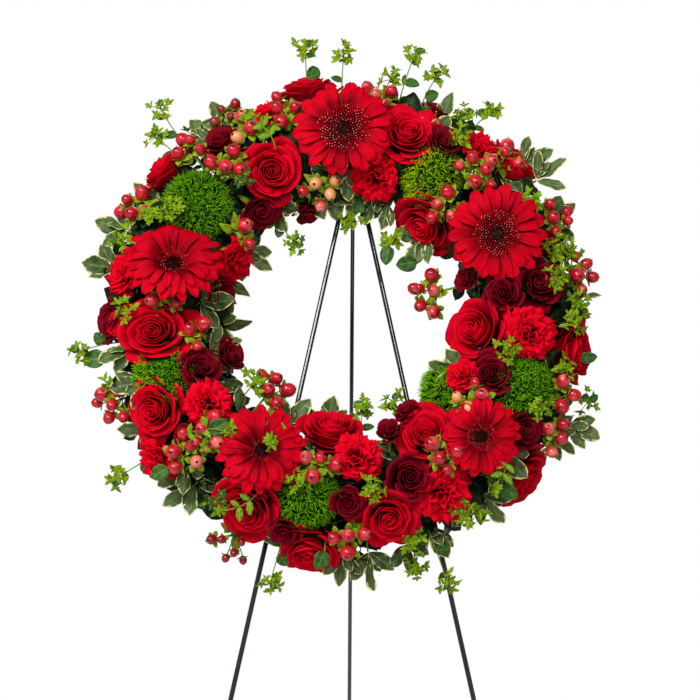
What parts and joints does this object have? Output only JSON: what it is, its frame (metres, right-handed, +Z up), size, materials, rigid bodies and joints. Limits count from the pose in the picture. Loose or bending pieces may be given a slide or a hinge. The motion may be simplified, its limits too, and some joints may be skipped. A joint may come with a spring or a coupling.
{
  "type": "funeral wreath on a folding easel",
  "caption": "Round standing funeral wreath of red flowers, berries and greenery in a foam ring, hung on a folding three-legged wire easel.",
  "frame": {"origin": "on the floor, under the middle of the whole object's box", "axes": "+Z up, the flowers face -Y, +X to the right seen from the front"},
  "size_m": [0.5732, 0.5893, 1.317],
  "materials": {
    "green_enamel": "gloss",
    "pin_steel": "satin",
    "vinyl": "satin",
    "tray_plastic": "satin",
    "flower_foam": "matte",
    "gerbera_petal": "matte",
    "rose_petal": "matte",
    "spray_rose_petal": "matte",
    "carnation_petal": "matte",
    "dianthus_green": "matte",
    "hypericum_berry": "gloss",
    "bupleurum_leaf": "matte",
    "pittosporum_leaf": "satin"
  },
  "bodies": {
    "front_frame_and_wreath": {"bupleurum_inner": "bupleurum_leaf", "bupleurum_outer": "bupleurum_leaf", "carnation_1": "carnation_petal", "carnation_2": "carnation_petal", "carnation_3": "carnation_petal", "carnation_4": "carnation_petal", "carnation_5": "carnation_petal", "carnation_6": "carnation_petal", "carnation_7": "carnation_petal", "carnation_8": "carnation_petal", "dianthus_1": "dianthus_green", "dianthus_2": "dianthus_green", "dianthus_3": "dianthus_green", "dianthus_4": "dianthus_green", "dianthus_5": "dianthus_green", "dianthus_6": "dianthus_green", "foam_ring": "flower_foam", "foam_tray": "tray_plastic", "gerbera_1": "gerbera_petal", "gerbera_2": "gerbera_petal", "gerbera_3": "gerbera_petal", "gerbera_4": "gerbera_petal", "gerbera_5": "gerbera_petal", "hinge_pin": "pin_steel", "hypericum_left": "hypericum_berry", "hypericum_right": "hypericum_berry", "left_foot_tip": "vinyl", "left_leg": "green_enamel", "leg_bracket": "green_enamel", "pittosporum_inner": "pittosporum_leaf", "pittosporum_outer": "pittosporum_leaf", "right_foot_tip": "vinyl", "right_leg": "green_enamel", "ring_hook": "green_enamel", "rose_1": "rose_petal", "rose_10": "rose_petal", "rose_11": "rose_petal", "rose_12": "rose_petal", "rose_13": "rose_petal", "rose_14": "rose_petal", "rose_15": "rose_petal", "rose_16": "rose_petal", "rose_2": "rose_petal", "rose_3": "rose_petal", "rose_4": "rose_petal", "rose_5": "rose_petal", "rose_6": "rose_petal", "rose_7": "rose_petal", "rose_8": "rose_petal", "rose_9": "rose_petal", "spray_rose_bottom": "spray_rose_petal", "spray_rose_bottom_left": "spray_rose_petal", "spray_rose_left": "spray_rose_petal", "spray_rose_lower_left": "spray_rose_petal", "spray_rose_lower_right": "spray_rose_petal", "spray_rose_right": "spray_rose_petal", "spray_rose_top": "spray_rose_petal", "spray_rose_upper_left": "spray_rose_petal"},
    "rear_leg_body": {"rear_leg": "green_enamel", "rear_foot_tip": "vinyl"}
  },
  "joints": [
    {"name": "rear_leg_fold", "type": "hinge", "parent": "front_frame_and_wreath", "child": "rear_leg_body", "pos_m": [0.01403, -0.06745, 1.16914], "axis": [-1, 0, 0], "range_deg": [0, 27]}
  ]
}
